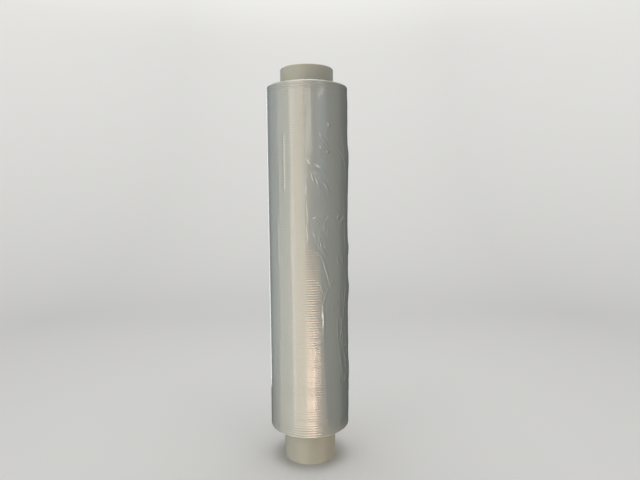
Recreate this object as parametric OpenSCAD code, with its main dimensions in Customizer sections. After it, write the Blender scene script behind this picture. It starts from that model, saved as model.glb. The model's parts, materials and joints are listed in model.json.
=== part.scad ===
// Roll of cling film: a wide stretch film wound on a core tube that stands out at both ends.
// The roll stands on the lower end of its core, with +Z up the core's axis.
// Angles run anticlockwise from +X, seen from above, so -90 degrees is the front (-Y).

/* [Core tube] */
// Inside diameter of the core
core_bore = 50; // [38:0.5:60]
// Wall of the core
core_wall = 5.7; // [3:0.1:8]
// Core that stands out below the film
core_below = 40; // [15:1:80]
// Core that stands out above the film
core_above = 21; // [15:1:80]
// Chamfer on the edges of the core's ends
core_chamfer = 0.6; // [0.2:0.1:1.2]

/* [Wound film] */
// Width of the film
film_width = 400; // [250:5:500]
// Depth of the film wound on the core
film_depth = 16.3; // [10:0.1:30]
// Rounding of the outer corners of the wound film
film_corner = 1; // [0.5:0.1:2]
// Bands of turns that show on each end face
turn_bands = 14; // [6:1:20]
// How far the bands of turns step in and out on the end faces
turn_step = 0.5; // [0.1:0.05:0.8]

/* [Slack last turn] */
// Tight film between the lower edge and the slack
slack_foot = 22; // [10:1:60]
// Tight film between the slack and the upper edge
slack_head = 18; // [10:1:60]
// Angle round the back where the slack ends
slack_root = 40; // [20:1:120]
// How far the slack turn lifts off the roll
slack_lift = 1.1; // [0.5:0.1:2]
// Height of the creases in the slack turn
crease_height = 0.9; // [0.3:0.1:1.2]
// Reach of a crease to each side of its line
crease_reach = 3.4; // [2.8:0.1:5]

/* [Hidden] */

core_r_in = core_bore / 2;
core_r = core_r_in + core_wall;
core_length = core_below + film_width + core_above;
film_r = core_r + film_depth;
slack_height = film_width - slack_foot - slack_head;

// Turns: the last band ends where the rounding of the outer corner begins.
corner_steps = 4;
golden_angle = 137.5;
band_pitch = (film_depth - 2 * film_corner) / turn_bands;

// Slack turn: grid cells round the roll and up it, and how deep its border and hidden back sink in.
cells_round = 48;
cells_up = 84;
slack_sink = 0.4;
back_sink = 1.2;
slack_floor = 0.25;
border_share = 0.06;

// Sides of the turned outlines, for drafts of the model.
turned_sides = 180;

// Torn tail edge of the film, as [share of the slack's height, angle].
tail_edge = [
    [0, -65], [0.14, -68], [0.38, -72.5], [0.52, -75.5],
    [0.56, -91], [0.88, -93], [1, -86],
];

// Long creases, as [share of height, angle] at each end.
long_creases = [
    [[0.89, -73], [0.84, -59]],
    [[0.81, -89], [0.78, -65]],
    [[0.52, -73], [0.43, -61]],
    [[0.42, -66], [0.37, -70]],
    [[0.35, -68], [0.22, -67]],
    [[0.9, -34], [0.72, -20]],
    [[0.7, -30], [0.5, -24]],
    [[0.48, -22], [0.3, -32]],
    [[0.28, -28], [0.08, -10]],
    [[0.22, -44], [0.12, -34]],
    [[0.84, 2], [0.6, 12]],
    [[0.5, 10], [0.2, 2]],
];

// Gathers, as [share of height, angle, first ray, last ray, rays, length]: rays are degrees below level.
gathers = [
    [0.79, -84, 35, 80, 5, 42],
    [0.66, -86, 20, 75, 5, 40],
    [0.57, -72, 40, 110, 4, 30],
    [0.45, -66, 50, 120, 4, 26],
    [0.8, -50, 40, 130, 4, 34],
];

function shed(x) = x * x * (3 - 2 * x);
function mix(a, b, t) = a + (b - a) * t;

// Place on the flattened film: distance round the roll and height above the slack's foot.
function flat(place) = [film_r * place[1] * PI / 180, place[0] * slack_height];

function gather_rays(g) = [
    for (k = [0 : g[4] - 1])
        let (start = flat([g[0], g[1]]), ray = mix(g[2], g[3], k / (g[4] - 1)))
            [start, start + g[5] * [cos(ray), -sin(ray)]]
];

creases = concat(
    [for (c = long_creases) [flat(c[0]), flat(c[1])]],
    [for (g = gathers, ray = gather_rays(g)) ray]
);

function from_line(p, line) =
    let (
        run = line[1] - line[0],
        t = max(0, min(1, (p - line[0]) * run / (run * run)))
    )
    norm(p - line[0] - t * run);

function crease_at(p) = max([for (c = creases) pow(1 - min(1, from_line(p, c) / crease_reach), 2)]);

// Soft blisters of trapped air, from 0 to 1, about a hand's breadth apart: two slanted waves that cross.
blister_round = 62;
blister_up = 85;
round_slant = 0.4;
up_slant = 0.5;
function blister_at(p) =
    let (
        round_wave = sin(360 * (p[0] + round_slant * p[1]) / blister_round),
        up_wave = sin(360 * (p[1] - up_slant * p[0]) / blister_up)
    )
    0.5 + 0.25 * (round_wave + up_wave);

function border(t) = shed(min(1, min(t, 1 - t) / border_share));
function slack_angle(u, v) = mix(lookup(v, tail_edge), slack_root, u);
function slack_rise(u, v) =
    let (
        p = flat([v, slack_angle(u, v)]),
        lift = slack_lift * shed(sin(180 * u)) * blister_at(p),
        crease = crease_height * crease_at(p)
    )
    (slack_sink + slack_floor + lift + crease) * border(u) * border(v) - slack_sink;

function round_roll(r, angle, z) = [r * cos(angle), r * sin(angle), z];
function slack_point(u, v) =
    round_roll(film_r + slack_rise(u, v), slack_angle(u, v), core_below + slack_foot + v * slack_height);

// End face of the wound film from the core outwards, as [radius, depth below the film's edge].
function turn_peak(k) = turn_step * (0.5 - 0.5 * sin(k * golden_angle));
function end_face() = concat(
    [for (k = [0 : turn_bands - 1], half = [0, 0.5])
        [core_r + (k + half) * band_pitch, half == 0 ? turn_step : turn_peak(k)]],
    [[core_r + turn_bands * band_pitch, turn_step]],
    [for (k = [0 : corner_steps])
        let (a = 90 * k / corner_steps)
            [film_r - film_corner * (1 - sin(a)), film_corner * (1 - cos(a))]]
);

module core_tube() {
    color("#b9b4a6")
        rotate_extrude($fn = turned_sides)
            polygon([
                [core_r_in + core_chamfer, 0],
                [core_r - core_chamfer, 0],
                [core_r, core_chamfer],
                [core_r, core_length - core_chamfer],
                [core_r - core_chamfer, core_length],
                [core_r_in + core_chamfer, core_length],
                [core_r_in, core_length - core_chamfer],
                [core_r_in, core_chamfer],
            ]);
}

module wound_film() {
    face = end_face();
    last = len(face) - 1;
    rotate_extrude($fn = turned_sides)
        polygon(concat(
            [for (p = face) [p[0], core_below + p[1]]],
            [for (k = [last : -1 : 0]) [face[k][0], core_below + film_width - face[k][1]]]
        ));
}

// The slack, torn end of the last turn: a creased sheet whose border sinks into the wound film.
module slack_turn() {
    row = cells_round + 1;
    sheet = [for (j = [0 : cells_up], i = [0 : cells_round]) slack_point(i / cells_round, j / cells_up)];
    hidden_r = film_r - back_sink;
    hidden = [for (v = [0, 1], i = [0 : cells_round])
        round_roll(hidden_r, slack_angle(i / cells_round, v), core_below + slack_foot + v * slack_height)];
    low = row * (cells_up + 1);
    high = low + row;
    right = cells_round;
    faces = concat(
        [for (j = [0 : cells_up - 1], i = [0 : cells_round - 1])
            let (a = j * row + i) each [[a, a + row, a + 1], [a + 1, a + row, a + row + 1]]],
        [for (i = [0 : cells_round - 1])
            each [[low + i, low + i + 1, high + i], [low + i + 1, high + i + 1, high + i]]],
        [for (i = [0 : cells_round - 1])
            each [[i, i + 1, low + i], [i + 1, low + i + 1, low + i]]],
        [for (i = [0 : cells_round - 1])
            let (a = cells_up * row + i) each [[a, high + i, a + 1], [a + 1, high + i, high + i + 1]]],
        [for (j = [0 : cells_up - 1]) [low, (j + 1) * row, j * row]],
        [[low, high, cells_up * row]],
        [for (j = [0 : cells_up - 1]) [low + right, j * row + right, (j + 1) * row + right]],
        [[low + right, cells_up * row + right, high + right]]
    );
    polyhedron(points = concat(sheet, hidden), faces = faces);
}

module film_roll() {
    color("#c3c4bd")
        union() {
            wound_film();
            slack_turn();
        }
}

core_tube();
film_roll();
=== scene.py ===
import json
import math

import bpy
import numpy as np
from mathutils import Matrix, Vector


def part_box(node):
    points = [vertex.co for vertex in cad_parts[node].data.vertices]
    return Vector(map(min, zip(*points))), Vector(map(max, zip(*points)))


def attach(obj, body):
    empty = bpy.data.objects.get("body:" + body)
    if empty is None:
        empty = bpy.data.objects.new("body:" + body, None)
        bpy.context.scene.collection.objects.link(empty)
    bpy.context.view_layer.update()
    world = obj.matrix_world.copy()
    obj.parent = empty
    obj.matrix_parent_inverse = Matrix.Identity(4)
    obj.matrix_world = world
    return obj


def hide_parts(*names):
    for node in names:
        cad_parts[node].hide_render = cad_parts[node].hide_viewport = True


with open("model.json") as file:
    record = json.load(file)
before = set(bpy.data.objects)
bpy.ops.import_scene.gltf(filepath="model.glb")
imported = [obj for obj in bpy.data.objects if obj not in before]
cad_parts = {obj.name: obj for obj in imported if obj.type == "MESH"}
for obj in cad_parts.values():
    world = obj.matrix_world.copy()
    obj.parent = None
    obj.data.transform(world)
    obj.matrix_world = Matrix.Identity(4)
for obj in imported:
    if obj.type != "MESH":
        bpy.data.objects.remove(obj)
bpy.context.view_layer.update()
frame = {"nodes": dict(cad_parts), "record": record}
print("frame loaded:", ", ".join(sorted(frame["nodes"])))

mm = 0.001
scene = bpy.context.scene
scene.view_settings.view_transform = "Standard"

# the roll's own sizes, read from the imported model
coreLow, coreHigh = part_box("core_tube")
filmLow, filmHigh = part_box("film_roll")
boreMount = next(m for m in frame["record"]["mounts"] if m["name"] == "core_bore")
coreRadius = coreHigh.x / mm
boreRadius = boreMount["dims"]["r_mm"]
coreLength = coreHigh.z / mm
filmRadius = -filmLow.x / mm  # the slack turn is on the other side
filmFoot = filmLow.z / mm
filmHead = filmHigh.z / mm


# sRGB hex to the linear colour that a shader takes: a straight toe, then a power curve
def hexLinear(code):
    srgb = np.array([int(code[k:k + 2], 16) for k in (1, 3, 5)]) / 255
    linear = np.where(srgb <= 0.04045, srgb / 12.92, ((srgb + 0.055) / 1.055) ** 2.4)
    return (*linear.tolist(), 1.0)


# one node: settings are its own values, sockets hold a value or the socket that feeds it
def addNode(tree, kind, sockets=None, **settings):
    node = tree.nodes.new("ShaderNode" + kind)
    for name, value in settings.items():
        setattr(node, name, value)
    for name, value in (sockets or {}).items():
        if isinstance(value, bpy.types.NodeSocket):
            tree.links.new(value, node.inputs[name])
        else:
            node.inputs[name].default_value = value
    return node


# a material with an empty tree
def newMaterial(name):
    material = bpy.data.materials.new(name)
    material.use_nodes = True
    material.node_tree.nodes.clear()
    return material, material.node_tree


# corners of every cell of a grid, numbered row by row; a closed side wraps to its first line
def gridQuads(rows, columns, closeRows, closeColumns):
    row = np.arange(rows if closeRows else rows - 1)[:, None] * columns
    nextRow = (row + columns) % (rows * columns)
    column = np.arange(columns if closeColumns else columns - 1)[None, :]
    nextColumn = (column + 1) % columns
    corners = [row + column, row + nextColumn, nextRow + nextColumn, nextRow + column]
    return np.stack(corners, axis=-1).reshape(-1, 4)


# points in millimetres and their faces become a smooth piece in metres
def makePiece(name, points, faces, material, sharpDegrees):
    mesh = bpy.data.meshes.new(name)
    mesh.from_pydata((points * mm).tolist(), [], faces)
    mesh.validate()
    mesh.shade_smooth()
    mesh.set_sharp_from_angle(angle=math.radians(sharpDegrees))
    mesh.materials.append(material)
    piece = bpy.data.objects.new(name, mesh)
    scene.collection.objects.link(piece)
    return piece


# radius, angle and height to X, Y and Z
def aroundAxis(radius, angle, height):
    x = radius * np.cos(angle)
    y = radius * np.sin(angle)
    return np.stack(np.broadcast_arrays(x, y, height), axis=-1)


# quarter of a circle in even steps, anticlockwise from a start angle, about a centre
def quarterArc(centre, radius, start, steps):
    angle = np.radians(start + np.linspace(0, 90, steps + 1))
    return np.stack([centre[0] + radius * np.cos(angle), centre[1] + radius * np.sin(angle)], axis=-1)


# smooth step from 0 to 1: three times the square less twice the cube
def shed(t):
    t = np.clip(t, 0, 1)
    return t * t * (3 - 2 * t)


# soft noise from -1 to 1: random values on a square lattice, blended smoothly between its corners
def latticeNoise(rng, x, y, cell):
    x = (x - x.min()) / cell
    y = (y - y.min()) / cell
    column = np.floor(x).astype(int)
    row = np.floor(y).astype(int)
    values = rng.uniform(-1, 1, (row.max() + 2, column.max() + 2))
    across = shed(x - column)
    up = shed(y - row)
    low = values[row, column] * (1 - across) + values[row, column + 1] * across
    high = values[row + 1, column] * (1 - across) + values[row + 1, column + 1] * across
    return low * (1 - up) + high * up


# camera, as fitted to the roll's edges in the photograph
photo = {
    "widthPixels": 640,
    "focalPixels": 493.5,
    "sensor": 36.0,
    "place": (14.04, -588.15, 312.53),
    "pitchDegrees": -4.818,
    "rollDegrees": -0.489,
    "clip": (0.01, 50.0),  # metres
}


def makeCamera():
    data = bpy.data.cameras.new("photoCamera")
    data.sensor_width = photo["sensor"]
    data.lens = photo["focalPixels"] / photo["widthPixels"] * photo["sensor"]
    data.clip_start, data.clip_end = photo["clip"]
    camera = bpy.data.objects.new("photoCamera", data)
    tilt = Matrix.Rotation(math.radians(90 + photo["pitchDegrees"]), 4, "X")
    roll = Matrix.Rotation(math.radians(photo["rollDegrees"]), 4, "Z")
    camera.matrix_world = Matrix.Translation(Vector(photo["place"]) * mm) @ tilt @ roll
    scene.collection.objects.link(camera)
    scene.camera = camera


makeCamera()
print("camera placed")


# painted highlight on the rims: a colour that turns to the finish's paler rim colour towards a low and a
# high end: none of it farther away than the second value of its reach, and all of it nearer than the first,
# in millimetres
def paintedRimHighlight(tree, spot, colour, finish, low, high):
    height = addNode(tree, "SeparateXYZ", {"Vector": spot}).outputs["Z"]
    middle = addNode(tree, "Math", {0: height, 1: (low + high) / 2 * mm}, operation="SUBTRACT")
    away = addNode(tree, "Math", {0: middle.outputs[0]}, operation="ABSOLUTE")
    near, far = finish["highlightReach"]
    share = addNode(tree, "MapRange", {
        "Value": away.outputs[0],
        "From Min": ((high - low) / 2 - far) * mm,
        "From Max": ((high - low) / 2 - near) * mm,
    })
    return addNode(tree, "Mix", {
        "Factor": share.outputs["Result"],
        "A": colour,
        "B": hexLinear(finish["edge"]),
    }, data_type="RGBA")


# Extruded polypropylene: an even off-white with a satin skin, faint die lines along the tube and paler cut
# ends, a painted highlight on the rims; the lines and the grain are drawn coarser than real ones, so that
# they show
corePlastic = {
    "colour": "#bdbbb1",
    "shade": "#b0ada3",
    # the paler colour at the ends is a painted highlight on the rims
    "edge": "#d3d1c6",
    "highlightReach": (0.3, 1.3),
    "roughness": 0.45,
    "ior": 1.49,
    "cloud": 26.0,
    "cloudDetail": 3,
    "dieLine": 1.6,
    "lineStretch": 50.0,
    "grain": 0.5,
    "grainDetail": 2,
    "bumpStrength": 0.12,
    "bumpDepth": 0.2,
}


def extrudedPolypropylene():
    material, tree = newMaterial("extrudedPolypropylene")
    spot = addNode(tree, "TexCoord").outputs["Object"]
    cloud = addNode(tree, "TexNoise", {
        "Vector": spot,
        "Scale": 1 / (corePlastic["cloud"] * mm),
        "Detail": corePlastic["cloudDetail"],
    })
    tone = addNode(tree, "Mix", {
        "Factor": cloud.outputs["Fac"],
        "A": hexLinear(corePlastic["colour"]),
        "B": hexLinear(corePlastic["shade"]),
    }, data_type="RGBA")
    # painted highlight: the tone turns paler towards both cut ends
    tone = paintedRimHighlight(tree, spot, tone.outputs["Result"], corePlastic, 0, coreLength)
    squeeze = addNode(tree, "Mapping", {"Vector": spot, "Scale": (1, 1, 1 / corePlastic["lineStretch"])})
    lines = addNode(tree, "TexNoise", {
        "Vector": squeeze.outputs["Vector"],
        "Scale": 1 / (corePlastic["dieLine"] * mm),
    })
    grain = addNode(tree, "TexNoise", {
        "Vector": spot,
        "Scale": 1 / (corePlastic["grain"] * mm),
        "Detail": corePlastic["grainDetail"],
    })
    relief = addNode(tree, "Math", {0: lines.outputs["Fac"], 1: grain.outputs["Fac"]}, operation="ADD")
    bump = addNode(tree, "Bump", {
        "Height": relief.outputs[0],
        "Strength": corePlastic["bumpStrength"],
        "Distance": corePlastic["bumpDepth"] * mm,
    })
    shader = addNode(tree, "BsdfPrincipled", {
        "Base Color": tone.outputs["Result"],
        "Roughness": corePlastic["roughness"],
        "IOR": corePlastic["ior"],
        "Normal": bump.outputs["Normal"],
    })
    addNode(tree, "OutputMaterial", {"Surface": shader.outputs["BSDF"]})
    return material


# Core tube: a closed profile with rounded edges, carried once round the axis
core = {
    "columns": 180,
    "edgeRound": 0.9,
    "edgeSteps": 4,
    "support": 2.0,
    "sharpDegrees": 40,
}


def coreTube(material):
    edge = core["edgeRound"]
    inner, outer = boreRadius, coreRadius
    low, high = edge, coreLength - edge
    shift = core["support"]
    profile = np.concatenate([
        quarterArc((outer - edge, low), edge, -90, core["edgeSteps"]),
        [(outer, low + shift), (outer, coreLength / 2), (outer, high - shift)],
        quarterArc((outer - edge, high), edge, 0, core["edgeSteps"]),
        [((outer + inner) / 2, coreLength)],
        quarterArc((inner + edge, high), edge, 90, core["edgeSteps"]),
        [(inner, high - shift), (inner, coreLength / 2), (inner, low + shift)],
        quarterArc((inner + edge, low), edge, 180, core["edgeSteps"]),
        [((outer + inner) / 2, 0)],
    ])
    angle = np.linspace(0, 2 * np.pi, core["columns"], endpoint=False)
    points = aroundAxis(profile[:, :1], angle[None, :], profile[:, 1:]).reshape(-1, 3)
    quads = gridQuads(len(profile), core["columns"], True, True)
    return makePiece("core_tube_finished", points, quads.tolist(), material, core["sharpDegrees"])


# Wound polyethylene film: hundreds of clear turns with air between them read as a milky, grey-white
# body under a glossy skin, with a painted highlight that makes it paler at the two ends, on the rims
filmFinish = {
    "milk": "#a9abaa",
    "haze": "#9b9e9d",
    # the paler colour at the ends is a painted highlight on the rims
    "edge": "#cdcfcc",
    "highlightReach": (0.3, 1.4),
    "roughness": 0.36,
    "ior": 1.51,
    "layers": 1.0,
    "coat": 1.0,
    "coatIor": 1.6,
    "coatRoughness": 0.07,
    "cloud": 45.0,
    "cloudStretch": 4.0,
    "cloudDetail": 4,
}


def woundPolyethylene():
    material, tree = newMaterial("woundPolyethyleneFilm")
    spot = addNode(tree, "TexCoord").outputs["Object"]
    squeeze = addNode(tree, "Mapping", {"Vector": spot, "Scale": (1, 1, 1 / filmFinish["cloudStretch"])})
    cloud = addNode(tree, "TexNoise", {
        "Vector": squeeze.outputs["Vector"],
        "Scale": 1 / (filmFinish["cloud"] * mm),
        "Detail": filmFinish["cloudDetail"],
    })
    tone = addNode(tree, "Mix", {
        "Factor": cloud.outputs["Fac"],
        "A": hexLinear(filmFinish["milk"]),
        "B": hexLinear(filmFinish["haze"]),
    }, data_type="RGBA")
    # painted highlight: the tone turns paler towards both ends of the film
    tone = paintedRimHighlight(tree, spot, tone.outputs["Result"], filmFinish, filmFoot, filmHead)
    shader = addNode(tree, "BsdfPrincipled", {
        "Base Color": tone.outputs["Result"],
        "Roughness": filmFinish["roughness"],
        "IOR": filmFinish["ior"],
        "Specular IOR Level": filmFinish["layers"],
        "Coat Weight": filmFinish["coat"],
        "Coat IOR": filmFinish["coatIor"],
        "Coat Roughness": filmFinish["coatRoughness"],
    })
    addNode(tree, "OutputMaterial", {"Surface": shader.outputs["BSDF"]})
    return material


# Wound film: end faces with the edges of the turns, rounded corners and fine winding ridges on the
# outside. Heights are above the film's lower edge, and angles are as in the frame, -90 at the front.
wound = {
    "columns": 116,
    "sharpDegrees": 60,
    "angleSamples": 4001,
    "frontDegrees": -112.0,
    "frontShare": 2.0,
    "frontFocus": 2.5,
    "lineShare": 8.0,
    "lineDegrees": 1.6,
    "corner": 1.0,
    "cornerSteps": 4,
    "turnRidges": 30,
    "turnInset": 1.6,
    "turnDepth": 0.5,
    "peakShare": (0, 0.7),  # how deep the peaks lie between the turns' valleys, as shares of that depth
    "valleyShare": 0.2,  # and how far a valley may rise
    "ridgePitch": 2.8,
    "ridgeDrift": 0.02,
    "rowsPerRidge": 5,
    "ridgeHeight": 0.15,
    "ridgeSpread": (0.4, 1.6),
    "ridgePatch": (40.0, 50.0, 0.1, 0.6),  # breadth, length, least and most
    # places where the ridges stand out, with their reach and gain
    "ridgeZones": [((162, -83), (26, 14), 0.5), ((352, -90), (14, 24), 0.4)],
    "edgeRidges": 22.0,
    "streaks": [(11.0, 170.0, 0.06), (4.5, 75.0, 0.05)],  # breadth, length and height
    "streakFade": 12.0,
    "stretchLines": [  # angle, lower end, upper end and height
        (-122.6, 272, 352, 0.5),
        (-131.0, 236, 315, 0.45),
        (-135.0, 196, 262, 0.5),
        (-106.0, 20, 150, 0.08),
    ],
    "lineBreadth": 1.4,
    "lineFade": 15.0,
    "seed": 11,
}


# column angles, closer together at the front, where the light shows each ridge, and at the stretch lines:
# even steps of the running total of a density with a hump at each of those places
def crowdedAngles(count):
    even = np.linspace(-np.pi, np.pi, wound["angleSamples"])
    front = math.radians(wound["frontDegrees"])
    density = 1 + wound["frontShare"] * np.exp(wound["frontFocus"] * (np.cos(even - front) - 1))
    for line in wound["stretchLines"]:
        aside = (np.degrees(even) - line[0]) / wound["lineDegrees"]
        density = density + wound["lineShare"] * np.exp(-aside ** 2)
    reach = np.concatenate([[0], np.cumsum((density[1:] + density[:-1]) / 2)])
    return np.interp(np.linspace(0, reach[-1], count, endpoint=False), reach, even)


# soft noise on the roll's outside that meets itself all the way round: lattice noise in angle and height
def wrappedNoise(rng, angle, height, breadth, length):
    around = round(2 * np.pi * filmRadius / breadth)
    x = (angle + np.pi) / (2 * np.pi) * around
    y = (height - height.min()) / length
    column = np.floor(x).astype(int) % around
    row = np.floor(y).astype(int)
    values = rng.uniform(-1, 1, (row.max() + 2, around))
    after = (column + 1) % around
    across = shed(x - np.floor(x))[None, :]
    up = shed(y - row)[:, None]
    low = values[row][:, column] * (1 - across) + values[row][:, after] * across
    high = values[row + 1][:, column] * (1 - across) + values[row + 1][:, after] * across
    return low * (1 - up) + high * up


# edges of the turns on one end face, as radius and depth below the film's edge: valleys at even steps
# of radius, each raised a little at random, and a peak of random depth between each two
def turnEdges(rng):
    ridges = wound["turnRidges"]
    outer = filmRadius - wound["turnInset"]
    radius = np.linspace(coreRadius, outer, 2 * ridges + 1)
    depth = np.full(2 * ridges + 1, wound["turnDepth"])
    depth[1::2] = wound["turnDepth"] * rng.uniform(*wound["peakShare"], ridges)
    depth[2:-1:2] -= wound["valleyShare"] * wound["turnDepth"] * rng.uniform(0, 1, ridges - 1)
    return radius, depth


# winding ridges as height and rise: a sine up the roll that drifts in step and has a random strength
# for each turn
def ridgeProfile(rng):
    pitch = wound["ridgePitch"]
    ridges = round((filmHead - filmFoot - 2 * wound["corner"]) / pitch)
    ends = filmFoot + wound["corner"], filmHead - wound["corner"]
    height = np.linspace(*ends, ridges * wound["rowsPerRidge"])[1:-1]
    turn = (height + np.cumsum(rng.normal(0, wound["ridgeDrift"], height.size)) - filmFoot) / pitch
    strength = np.interp(turn, np.arange(ridges + 2), rng.uniform(*wound["ridgeSpread"], ridges + 2))
    return height, wound["ridgeHeight"] * strength * np.sin(2 * np.pi * turn)


# a closed profile carried round the axis; the radius of its wall is the film's, plus the ridges times
# a soft patch, plus streaks of soft noise, plus a bell curve across each stretch line
def woundFilm(material):
    rng = np.random.default_rng(wound["seed"])
    corner = wound["corner"]
    height, ridge = ridgeProfile(rng)
    lowRadius, lowDepth = turnEdges(rng)
    highRadius, highDepth = turnEdges(rng)
    lowFace = np.stack([lowRadius, filmFoot + lowDepth], axis=-1)
    highFace = np.stack([highRadius, filmHead - highDepth], axis=-1)[::-1]
    wall = np.stack([np.full_like(height, filmRadius), height], axis=-1)
    profile = np.concatenate([
        lowFace,
        quarterArc((filmRadius - corner, filmFoot + corner), corner, -90, wound["cornerSteps"]),
        wall,
        quarterArc((filmRadius - corner, filmHead - corner), corner, 0, wound["cornerSteps"]),
        highFace,
    ])
    angle = crowdedAngles(wound["columns"])
    radius = profile[:, :1] + 0 * angle
    ends = len(lowFace) + wound["cornerSteps"] + 1
    wallRows = slice(ends, len(profile) - ends)
    fromEdge = np.minimum(height - filmFoot, filmHead - height)[:, None]
    breadth, length, low, high = wound["ridgePatch"]
    noise = wrappedNoise(rng, angle, height, breadth, length)
    patch = low + (high - low) * (0.5 + 0.5 * noise)
    for (zoneUp, degrees), (reachUp, reachDegrees), gain in wound["ridgeZones"]:
        away = ((height[:, None] - filmFoot - zoneUp) / reachUp) ** 2
        patch = patch + gain * np.exp(-away - ((np.degrees(angle) - degrees) / reachDegrees) ** 2)
    patch = np.maximum(patch, 1 - shed(fromEdge / wound["edgeRidges"]))
    radius[wallRows] += ridge[:, None] * patch
    for breadth, length, lift in wound["streaks"]:
        hold = lift * shed(fromEdge / wound["streakFade"])
        radius[wallRows] += hold * wrappedNoise(rng, angle, height, breadth, length)
    for degrees, low, high, lift in wound["stretchLines"]:
        aside = filmRadius * (angle - math.radians(degrees)) / wound["lineBreadth"]
        climb = np.minimum(height - filmFoot - low, filmFoot + high - height)
        radius[wallRows] += lift * shed(climb / wound["lineFade"])[:, None] * np.exp(-aside ** 2)
    points = aroundAxis(radius, angle[None, :], profile[:, 1:]).reshape(-1, 3)
    quads = gridQuads(len(profile), wound["columns"], True, True)
    return makePiece("wound_film", points, quads.tolist(), material, wound["sharpDegrees"])


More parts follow.
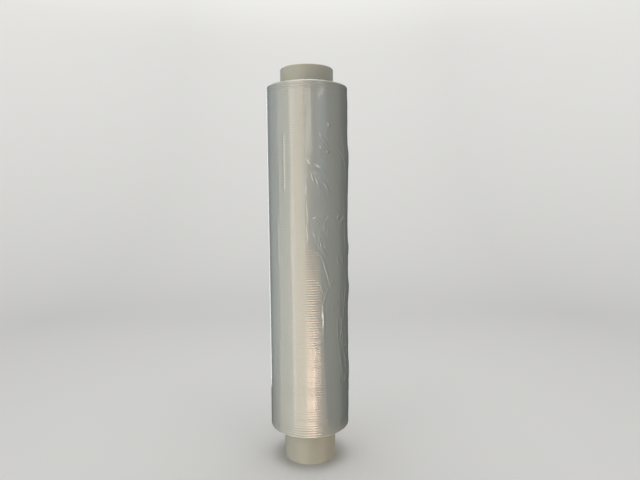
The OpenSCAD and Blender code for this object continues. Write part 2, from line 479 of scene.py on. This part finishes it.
# Slack last turn: a creased ply on the roll from its torn tail edge, at the left, to where the film is
# tight again. Places are height above the film's lower edge and angle, as in the frame, -90 at the front.
slack = {
    "sharpDegrees": 60,
    "rows": 600,
    "rowPlan": [(0, 1), (0.22, 120), (0.9, 350), (1, 399)],  # share of the rows below each height
    "fineColumns": 124,
    "coarseColumns": 30,
    "fineShare": 0.55,
    "rootDegrees": 40.0,
    "tail": [
        (1, -63), (22, -64), (66, -67), (108, -70), (148, -71), (208, -74),
        (213, -77), (219, -90), (339, -92), (382, -86), (399, -84),
    ],
    "tailWander": [(14.0, 0.7), (4.0, 0.35)],  # cell and reach of the torn edge's random sway
    "tailStep": 0.06,
    "tailRamp": 0.6,
    "ply": 0.07,
    "sink": 0.12,
    "hiddenSink": 0.48,
    "endFade": 20.0,
    "seed": 5,
    "blister": (34.0, 0.5, 25.0),  # cell, height and how far from the torn edge they start
    "bulges": [  # height on the roll, angle, rise and reach
        (322, -4, 1.1, 12), (300, 6, 0.7, 18), (214, -2, 0.8, 8), (165, -2, 1.2, 13), (66, -4, 1.1, 14),
    ],
    "bulgeBreadth": 16.0,
    # ridges that show through the ply: reach from the torn edge, strength, height on the roll and spread
    "showThrough": (5.0, 0.8, 72, 28),
    "pleats": [(-62, 11.0, 0.07), (-24, 15.0, 0.06), (-101, 9.0, 0.05)],  # heading, pitch and height
    "pleatSway": (0.3, 26.0),  # as a share of the pitch, and the cell of its noise
    "pleatPatch": (0.45, 30.0),  # lean of the noise that shows the pleats in patches, and its cell
    "gatherSides": 5.0,  # steepness of a fan's two sides
    "gatherRise": 0.35,  # shares of the reach where the folds are full and where they start to fall
    "gatherFall": 0.5,
    "gathers": [  # place, first and last heading, folds, reach and height
        [(306, -84), -84, -22, 7, 44, 0.12],
        [(262, -80), -78, -10, 6, 36, 0.1],
        [(238, -74), -115, -35, 7, 40, 0.12],
        [(196, -66), -130, -45, 6, 34, 0.1],
        [(345, -60), -130, -30, 6, 40, 0.1],
    ],
    "creaseSlant": 0.5,  # how much up counts against across in telling a crease's two sides apart
    "creaseEnd": 0.35,  # share of its height that a crease has at its ends
    "sharpReach": (1.0, 3.0),  # how far a crease falls on its steep lower left side and on the other
    "creases": [  # path and height
        [[(341, -73), (328, -60)], 0.85],
        [[(337, -73), (323, -61)], 0.5],
        [[(314, -89), (308, -82)], 0.3],
        [[(309, -83), (305, -73), (301, -66)], 0.62],
        [[(300, -84), (289, -80)], 0.32],
        [[(298, -79), (289, -75), (279, -71)], 0.45],
        [[(294, -73), (288, -65), (279, -60), (274, -55)], 0.75],
        [[(324, -37), (307, -21)], 1.1],
        [[(253, -80), (247, -71)], 0.45],
        [[(249, -83), (253, -76)], 0.4],
        [[(254, -74), (247, -66), (252, -60)], 0.55],
        [[(254, -70), (250, -66)], 0.5],
        [[(249, -46), (253, -42)], 0.8],
        [[(245, -39), (253, -28)], 0.9],
        [[(246, -30), (251, -26)], 1.0],
        [[(244, -67), (236, -67)], 0.55],
        [[(239, -62), (231, -62)], 0.6],
        [[(236, -82), (227, -78)], 0.35],
        [[(225, -72), (218, -71), (214, -68), (208, -64)], 0.6],
        [[(221, -67), (213, -62)], 0.65],
        [[(209, -72), (200, -67), (185, -62), (174, -58)], 0.68],
        [[(180, -55), (174, -58)], 0.6],
        [[(206, -45), (199, -44)], 0.8],
        [[(206, -35), (198, -33)], 0.9],
        [[(173, -71), (165, -68)], 0.5],
        [[(171, -69), (164, -65), (155, -69)], 0.55],
        [[(171, -62), (164, -65)], 0.6],
        [[(155, -69.5), (146, -69.5)], 0.4],
        [[(126, -69), (104, -68)], 0.35],
        [[(135, -45), (106, -45)], 0.6],
        [[(134, -37), (123, -35)], 0.9],
        [[(122, -36), (113, -40)], 0.9],
        [[(92, -30), (74, -26)], 1.1],
        [[(67, -41), (59, -41)], 0.6],
        [[(65, -28), (57, -28)], 1.1],
    ],
    "glintReach": (1.9, 2.4),  # the same for the few wide ones that flash
    "glints": [
        [[(352.6, -59), (351.4, -58)], 1.7],
        [[(323.6, -61.5), (322.4, -60.5)], 1.5],
        [[(100.6, -25), (99.4, -24)], 1.8],
        [[(148, -68.6), (126, -68.2)], 1.25],
    ],
    "softReach": (1.4, 6.0),  # the same for the long folds
    "folds": [
        [[(346, -34), (281, -20)], 0.5],
        [[(274, -30), (202, -24)], 0.5],
        [[(195, -22), (130, -32)], 0.5],
        [[(123, -28), (51, -10)], 0.6],
        [[(101, -44), (65, -34)], 0.5],
        [[(324, 2), (238, 12)], 0.5],
        [[(202, 10), (94, 2)], 0.5],
    ],
    "fineReach": (0.6, 2.0),  # and for the small wrinkles, which are drawn at random in clusters
    "fineHeight": (0.22, 0.48),
    "clusters": [  # place, spread, heading and its spread, half length and count
        [(330, -64), (14, 8), (-55, 15), (2, 5), 5],
        [(285, -68), (14, 10), (-62, 15), (2, 6), 9],
        [(250, -72), (5, 9), (-45, 8), (1.5, 3), 5],
        [(250, -70), (5, 9), (45, 8), (1.5, 3), 5],
        [(228, -68), (15, 8), (-62, 14), (2, 6), 12],
        [(110, -34), (50, 12), (-84, 8), (4, 10), 12],
        [(190, -20), (150, 40), (-65, 35), (3, 8), 18],
    ],
}


# height of creases along paths: each is a lopsided tent that falls to nothing at its reach, soon on its
# lower left side and slowly on the other, and is lower towards the path's ends by half a sine
def creaseHeight(across, up, paths):
    total = np.zeros_like(across)
    for path, height, (steep, gentle) in paths:
        run = np.diff(path, axis=0)
        length = np.hypot(run[:, 0], run[:, 1])
        before = np.cumsum(length) - length
        for (ax, ay), (runX, runY), stretch, start in zip(path, run, length, before):
            held = np.clip(((across - ax) * runX + (up - ay) * runY) / stretch ** 2, 0, 1)
            awayX = across - ax - held * runX
            awayY = up - ay - held * runY
            reach = np.where(awayX + slack["creaseSlant"] * awayY < 0, steep, gentle)
            middle = np.sin(np.pi * (start + held * stretch) / length.sum())
            fade = slack["creaseEnd"] + (1 - slack["creaseEnd"]) * middle
            total = np.maximum(total, height * fade * np.clip(1 - np.hypot(awayX, awayY) / reach, 0, 1))
    return total


# zigzag from 0 to 1 and back in each whole step
def zigzag(t):
    return np.abs(t % 1 - 0.5) * 2


# gathers: straight folds that fan out from a point, as a zigzag between two headings that fades at its
# two sides, close to the point and at its reach
def gatherHeight(across, up):
    total = np.zeros_like(across)
    fall = slack["gatherFall"]
    for place, first, last, folds, reach, height in slack["gathers"]:
        x, y = unrolled(place)
        away = np.hypot(across - x, up - y) / reach
        share = (np.degrees(np.arctan2(up - y, across - x)) - first) / (last - first)
        sides = shed(slack["gatherSides"] * np.minimum(share, 1 - share))
        within = sides * shed(away / slack["gatherRise"]) * (1 - shed((away - fall) / (1 - fall)))
        total = total + height * within * zigzag(share * folds)
    return total


# pleats: a zigzag across each heading, swayed and shown in patches by soft noise
def pleatHeight(rng, across, up):
    total = np.zeros_like(across)
    sway, swayCell = slack["pleatSway"]
    lean, patchCell = slack["pleatPatch"]
    for heading, pitch, height in slack["pleats"]:
        turn = math.radians(heading)
        bend = sway * pitch * latticeNoise(rng, across, up, swayCell)
        patch = shed(lean + latticeNoise(rng, across, up, patchCell))
        beside = across * math.sin(turn) - up * math.cos(turn) + bend
        total = total + height * patch * zigzag(beside / pitch)
    return total


# flat places on the unrolled film: distance round from the front, height above the film's lower edge
def unrolled(places):
    places = np.asarray(places, float)
    return np.stack([filmRadius * np.radians(places[..., 1] + 90), places[..., 0]], axis=-1)


# a sheet on a grid of heights and distances from the torn edge; its radius is the film's, plus the ply and
# the sum of its blisters, bulges, ridges, gathers, pleats and creases, which start within a short ramp of
# the torn edge and sink into the film at the other edges; a strip inside the film closes it behind
def slackTurn(material):
    rng = np.random.default_rng(slack["seed"])
    up = np.interp(np.linspace(0, 1, slack["rows"] + 1), *np.array(slack["rowPlan"]).T)[:, None]
    tail = np.interp(up, *np.array(slack["tail"], float).T)
    for cell, reach in slack["tailWander"]:
        tail = tail + np.degrees(reach / filmRadius) * latticeNoise(rng, 0 * up, up, cell)
    share = np.concatenate([
        np.linspace(0, slack["fineShare"], slack["fineColumns"], endpoint=False),
        np.linspace(slack["fineShare"], 1, slack["coarseColumns"]),
    ])
    fromTail = slack["tailStep"] + filmRadius * np.radians(slack["rootDegrees"] - tail) * share[None, :]
    fromTail = np.concatenate([0 * up, fromTail], axis=1)
    across = fromTail + filmRadius * np.radians(tail + 90)
    up = up + 0 * across
    angle = across / filmRadius - np.pi / 2

    paths = [[unrolled(path), height, slack["sharpReach"]] for path, height in slack["creases"]]
    paths += [[unrolled(path), height, slack["softReach"]] for path, height in slack["folds"]]
    paths += [[unrolled(path), height, slack["glintReach"]] for path, height in slack["glints"]]
    for place, (spreadUp, spreadDegrees), heading, reach, count in slack["clusters"]:
        spread = np.array([filmRadius * math.radians(spreadDegrees), spreadUp])
        centre = unrolled(place) + rng.uniform(-1, 1, (count, 2)) * spread
        turn = np.radians(rng.normal(*heading, count))
        half = rng.uniform(*reach, (count, 1)) * np.stack([np.cos(turn), np.sin(turn)], axis=-1)
        height = rng.uniform(*slack["fineHeight"], count)
        ends = np.stack([centre - half, centre + half], axis=1)
        paths += [[path, lift, slack["fineReach"]] for path, lift in zip(ends, height)]

    cell, height, fade = slack["blister"]
    rise = height * (0.5 + 0.5 * latticeNoise(rng, across, up, cell)) * shed(fromTail / fade)
    for place, degrees, height, reach in slack["bulges"]:
        x, y = unrolled((place, degrees))
        away = ((across - x) / slack["bulgeBreadth"]) ** 2 + ((up - y) / reach) ** 2
        rise = rise + height * np.exp(-away)
    reach, strength, place, spread = slack["showThrough"]
    ridge = np.interp(filmFoot + up, *ridgeProfile(np.random.default_rng(wound["seed"])))
    rise = rise + strength * ridge * np.exp(-fromTail / reach - ((up - place) / spread) ** 2)
    rise = rise + gatherHeight(across, up) + pleatHeight(rng, across, up)
    rise = rise + creaseHeight(across, up, paths)

    fromRoot = across[:, -1:] - across
    fromEnd = np.minimum(up - up[0, 0], up[-1, 0] - up)
    hold = shed(fromRoot / slack["endFade"]) * shed(fromEnd / slack["endFade"])
    relief = slack["ply"] + rise * shed(fromTail / slack["tailRamp"])
    relief = relief * hold - slack["sink"] * (1 - hold)
    relief[:, 0] = -slack["sink"]
    sheet = aroundAxis(filmRadius + relief, angle, filmFoot + up)

    hidden = aroundAxis(filmRadius - slack["hiddenSink"], angle[[0, -1]], filmFoot + up[[0, -1]])
    rows, columns = relief.shape
    points = np.concatenate([sheet.reshape(-1, 3), hidden.reshape(-1, 3)])
    faces = gridQuads(rows, columns, False, False).tolist()
    low = rows * columns  # first point of the hidden strip's lower line
    high = low + columns  # and of its upper line
    step = np.arange(columns - 1)
    top = (rows - 1) * columns
    faces += np.stack([low + step, high + step, high + step + 1, low + step + 1], axis=-1).tolist()
    faces += np.stack([step, low + step, low + step + 1, step + 1], axis=-1).tolist()
    faces += np.stack([top + step, top + step + 1, high + step + 1, high + step], axis=-1).tolist()
    climb = np.arange(rows - 1) * columns
    faces += np.stack([climb, climb + columns, np.full_like(climb, low)], axis=-1).tolist()
    faces.append([top, high, low])
    climb = climb + columns - 1
    faces += np.stack([climb + columns, climb, np.full_like(climb, high - 1)], axis=-1).tolist()
    faces.append([high + columns - 1, top + columns - 1, high - 1])
    return makePiece("slack_turn", points, faces, material, slack["sharpDegrees"])


coreMaterial = extrudedPolypropylene()
filmMaterial = woundPolyethylene()
corePiece = coreTube(coreMaterial)
woundPiece = woundFilm(filmMaterial)
slackPiece = slackTurn(filmMaterial)
for piece, node, slotName in (
    (corePiece, "core_tube", "core"),
    (woundPiece, "film_roll", "film"),
    (slackPiece, "film_roll", "film"),
):
    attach(piece, "root")
    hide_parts(node)
    print(piece.name, len(piece.data.vertices), "points")

# Matt paper: an even pale tone with no shine; its tooth is drawn coarser than real fibres, so that it shows
paper = {
    "colour": "#f2f1ee",
    "fibre": 3.85,
    "fibreDetail": 3,
    "bumpStrength": 0.04,
    "bumpDepth": 1.0,
    "roughness": 0.9,
    "shine": 0.1,
}


def mattPaper():
    material, tree = newMaterial("mattPaper")
    fibre = addNode(tree, "TexNoise", {
        "Vector": addNode(tree, "TexCoord").outputs["Object"],
        "Scale": 1 / (paper["fibre"] * mm),
        "Detail": paper["fibreDetail"],
    })
    bump = addNode(tree, "Bump", {
        "Height": fibre.outputs["Fac"],
        "Strength": paper["bumpStrength"],
        "Distance": paper["bumpDepth"] * mm,
    })
    shader = addNode(tree, "BsdfPrincipled", {
        "Base Color": hexLinear(paper["colour"]),
        "Roughness": paper["roughness"],
        "Specular IOR Level": paper["shine"],
        "Normal": bump.outputs["Normal"],
    })
    addNode(tree, "OutputMaterial", {"Surface": shader.outputs["BSDF"]})
    return material


# Stage: a pale seamless sweep all round, so that no view meets an edge. A flat floor, a quarter circle
# and an upright wall are carried once round the axis.
stage = {
    "flatSteps": (1.0, 200.0, 500.0),
    "flatRadius": 1000.0,
    "sweepRadius": 1200.0,
    "sweepSteps": 15,
    "wallHeight": 1600.0,
    "columns": 96,
    "sharpDegrees": 60,
}


def paleSweep(material):
    rise = stage["sweepRadius"]
    flat = [(radius, 0) for radius in stage["flatSteps"]]
    bend = quarterArc((stage["flatRadius"], rise), rise, -90, stage["sweepSteps"])
    wall = [(bend[-1, 0], rise + stage["wallHeight"])]
    profile = np.concatenate([flat, bend, wall])
    turn = np.linspace(0, 2 * np.pi, stage["columns"], endpoint=False)
    points = aroundAxis(profile[:, :1], turn[None, :], profile[:, 1:]).reshape(-1, 3)
    quads = gridQuads(len(profile), stage["columns"], False, True)[:, ::-1]
    return makePiece("pale_sweep", points, quads.tolist(), material, stage["sharpDegrees"])


sweep = paleSweep(mattPaper())
sweep.visible_glossy = False
sweep.visible_diffuse = False
sweep.visible_shadow = False
print("sweep placed")

# Soft boxes: each is a strip between two ends, with its width, watts and colour and the receivers that
# it lights. An end is azimuth from the front, to the right, distance from the axis and height, in metres.
softBoxes = {
    "keyBroad": ((-57, 0.8, 0.95), (-69, 0.8, -0.45), 0.75, 2.39, "#f3fffb", "roll"),
    "keyCore": ((-27, 0.75, 0.95), (-27, 0.75, -0.45), 0.53, 4.16, "#fff3de", "roll"),
    "warmHigh": ((1, 0.72, 0.85), (4, 0.72, 0.42), 0.19, 0.43, "#fffaed", "film"),
    "warmMid": ((-2, 0.72, 0.15), (-5, 0.72, -0.42), 0.14, 0.53, "#ffedc9", "wound"),
    "warmSide": ((16, 0.72, 0.0), (1.5, 0.72, -0.36), 0.3, 1.45, "#ffe0c5", "wound"),
    "warmEdge": ((17, 0.72, -0.09), (9, 0.72, -0.32), 0.06, 0.2, "#ffdcc0", "wound"),
    "warmTip": ((29, 0.72, 0.01), (27, 0.72, -0.09), 0.12, 0.19, "#ffe8d4", "wound"),
    "slackFlash": ((-19, 0.72, 0.35), (-19, 0.72, -0.35), 0.28, 1.64, "#fff8ef", "slack"),
    "topGlint": ((38, 0.72, 0.69), (40, 0.72, 0.59), 0.22, 0.2, "#fff0d8", "film"),
    "coolFill": ((-106, 1.0, 1.0), (-106, 1.0, -0.3), 0.9, 0.88, "#b2e1ff", "roll"),
    "frontFill": ((40, 1.0, 1.1), (40, 1.0, 0.4), 0.6, 0.53, "#acd5ff", "roll"),
    "lowFill": ((40, 1.0, 0.4), (40, 1.0, -0.5), 0.6, 0.17, "#6addff", "roll"),
    "rightFill": ((84, 1.0, 1.0), (84, 1.0, -0.6), 0.7, 0.81, "#fffdd2", "roll"),
    "coreWarm": ((52, 0.8, 0.15), (52, 0.8, -0.45), 0.4, 1.85, "#ffe8cf", "core"),
    "rearRight": ((132, 1.0, 1.0), (132, 1.0, -0.6), 0.9, 5.0, "#f4f3ea", "roll"),
    "rearKey": ((180, 0.9, 1.0), (180, 0.9, -0.3), 0.35, 3.2, "#fff9f0", "roll"),
    "rearFill": ((-166, 1.0, 1.0), (-166, 1.0, -0.3), 0.6, 3.2, "#f1f6f8", "roll"),
    "underGlow": ((180, 0.5, -0.4), (0, 0.5, -0.4), 1.0, 0.6, "#fffaf2", "roll"),
    "overhead": ((-90, 0.7, 2.0), (90, 0.7, 2.0), 0.6, 26.0, "#ffffff", "roll"),
    "stageWash": ((-90, 1.3, 2.5), (90, 1.3, 2.5), 2.6, 54.0, "#ffffff", "stage"),
    "backWash": ((180, 0.7, 2.2), (180, 0.7, 1.7), 1.6, 17.0, "#ffffff", "stage"),
    "rightWash": ((90, 0.7, 2.2), (90, 0.7, 1.7), 1.6, 17.0, "#ffffff", "stage"),
    "frontWash": ((0, 0.7, 2.2), (0, 0.7, 1.7), 1.6, 17.0, "#ffffff", "stage"),
    "leftWash": ((-90, 0.7, 2.2), (-90, 0.7, 1.7), 1.6, 17.0, "#ffffff", "stage"),
}
washAim = 1.9  # distance from the axis of the place that a side wash faces, under the sweep's bend
lampAim = {  # the others face the middle of the roll
    "backWash": Vector((0, washAim, 0)),
    "rightWash": Vector((washAim, 0, 0)),
    "frontWash": Vector((0, -washAim, 0)),
    "leftWash": Vector((-washAim, 0, 0)),
}
softOnly = ["rearRight"]  # gives no reflection, which would whiten the rims
receivers = {
    "roll": [corePiece, woundPiece, slackPiece],
    "film": [woundPiece, slackPiece],
    "wound": [woundPiece],
    "slack": [slackPiece],
    "core": [corePiece],
    "stage": [sweep],
}
rollMiddle = Vector((0, 0, coreLength * mm / 2))
studioAir = {"colour": "#8f9294", "strength": 0.25}


# azimuth, distance and height to X, Y and Z: the sine goes right, the cosine to the front
def boxEnd(azimuth, distance, height):
    turn = math.radians(azimuth)
    return Vector((distance * math.sin(turn), -distance * math.cos(turn), height))


# each lamp lies between its two ends, turned to its aim, and lights its receivers alone
def makeLights():
    lit = {}
    for group, pieces in receivers.items():
        lit[group] = bpy.data.collections.new(group + "Lit")
        for piece in pieces:
            lit[group].objects.link(piece)
    for name, (first, last, width, watts, colour, group) in softBoxes.items():
        high, low = boxEnd(*first), boxEnd(*last)
        data = bpy.data.lights.new(name, "AREA")
        data.shape = "RECTANGLE"
        data.size = width
        data.size_y = (high - low).length
        data.energy = watts
        data.color = hexLinear(colour)[:3]
        light = bpy.data.objects.new(name, data)
        middle = (high + low) / 2
        along = (high - low).normalized()
        back = middle - lampAim.get(name, rollMiddle)
        back = (back - along * back.dot(along)).normalized()  # the lamp shines along its own -Z
        turned = Matrix((along.cross(back), along, back)).transposed()
        light.matrix_world = Matrix.Translation(middle) @ turned.to_4x4()
        light.visible_camera = False
        light.visible_glossy = name not in softOnly
        light.light_linking.receiver_collection = lit[group]
        scene.collection.objects.link(light)
    world = bpy.data.worlds.new("studioWorld")
    world.use_nodes = True
    background = world.node_tree.nodes["Background"]
    background.inputs["Color"].default_value = hexLinear(studioAir["colour"])
    background.inputs["Strength"].default_value = studioAir["strength"]
    scene.world = world


makeLights()
print("lights placed")
